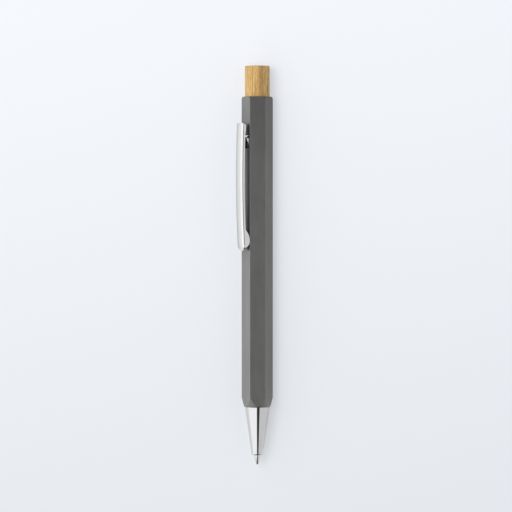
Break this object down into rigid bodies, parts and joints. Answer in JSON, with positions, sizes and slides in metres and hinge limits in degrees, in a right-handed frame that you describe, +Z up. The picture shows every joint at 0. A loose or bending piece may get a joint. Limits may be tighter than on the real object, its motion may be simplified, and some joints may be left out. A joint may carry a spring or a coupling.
{
  "type": "retractable ballpoint pen",
  "caption": "Push-button ballpoint pen with a hexagonal metal barrel, round bamboo button, folded chrome clip and conical nose; the button latches the refill's tip out or in.",
  "frame": {"origin": "on the barrel's lowest flat, the one that the pen lies on, at the middle of the barrel's length and under the pen's axis", "axes": "+Y along the pen towards its button, +Z up from the flat, clip on the upper flat on the -X side"},
  "size_m": [0.0132, 0.1399, 0.0104],
  "materials": {
    "anodised_aluminium": "fine satin, dark grey anodised",
    "chrome_plate": "polished",
    "bamboo": "sanded, clear sealed",
    "black_acetal": "moulded",
    "white_acetal": "moulded",
    "spring_steel": "drawn wire",
    "refill_plastic": "translucent extruded",
    "tip_metal": "turned",
    "ball_carbide": "lapped",
    "ink": "wet",
    "grease": "wet"
  },
  "bodies": {
    "barrel": {"barrel": "anodised_aluminium", "cam_sleeve": "black_acetal"},
    "nose": {"nose_cone": "chrome_plate"},
    "clip": {"clip": "chrome_plate"},
    "button": {"bamboo_button": "bamboo", "plunger": "white_acetal"},
    "refill": {"refill_tube": "refill_plastic", "refill_tip": "tip_metal", "ink_column": "ink", "grease_follower": "grease", "return_spring": "spring_steel"},
    "rotor": {"rotor": "white_acetal"},
    "ball": {"writing_ball": "ball_carbide"}
  },
  "joints": [
    {"name": "button_press", "type": "slide", "parent": "barrel", "child": "button", "axis": [0, 1, 0], "range_m": [-0.0013, 0.005]},
    {"name": "refill_slide", "type": "slide", "parent": "barrel", "child": "refill", "axis": [0, 1, 0], "range_m": [-0.0013, 0.005], "deforming": ["return_spring"]},
    {"name": "rotor_turn", "type": "hinge", "parent": "refill", "child": "rotor", "pos_m": [0, 0.03, 0.00475], "axis": [0, 1, 0], "range_deg": [-11.8, 45.1]},
    {"name": "ball_roll", "type": "hinge", "parent": "refill", "child": "ball", "pos_m": [0, -0.07435, 0.00475], "axis": [1, 0, 0], "continuous": true},
    {"name": "clip_flex", "type": "hinge", "parent": "barrel", "child": "clip", "pos_m": [-0.00268, 0.0362, 0.0063], "axis": [-0.5, 0, -0.866], "range_deg": [0, 3], "stiffness_Nm_per_rad": 3},
    {"name": "nose_draw_off", "type": "slide", "parent": "barrel", "child": "nose", "axis": [0, -1, 0], "range_m": [0, 0.03]}
  ],
  "couplings": [
    {"joint": "refill_slide", "follows": "button_press", "ratio": 1},
    {"joint": "rotor_turn", "follows": "button_press", "rad_per_m": 157.08}
  ]
}
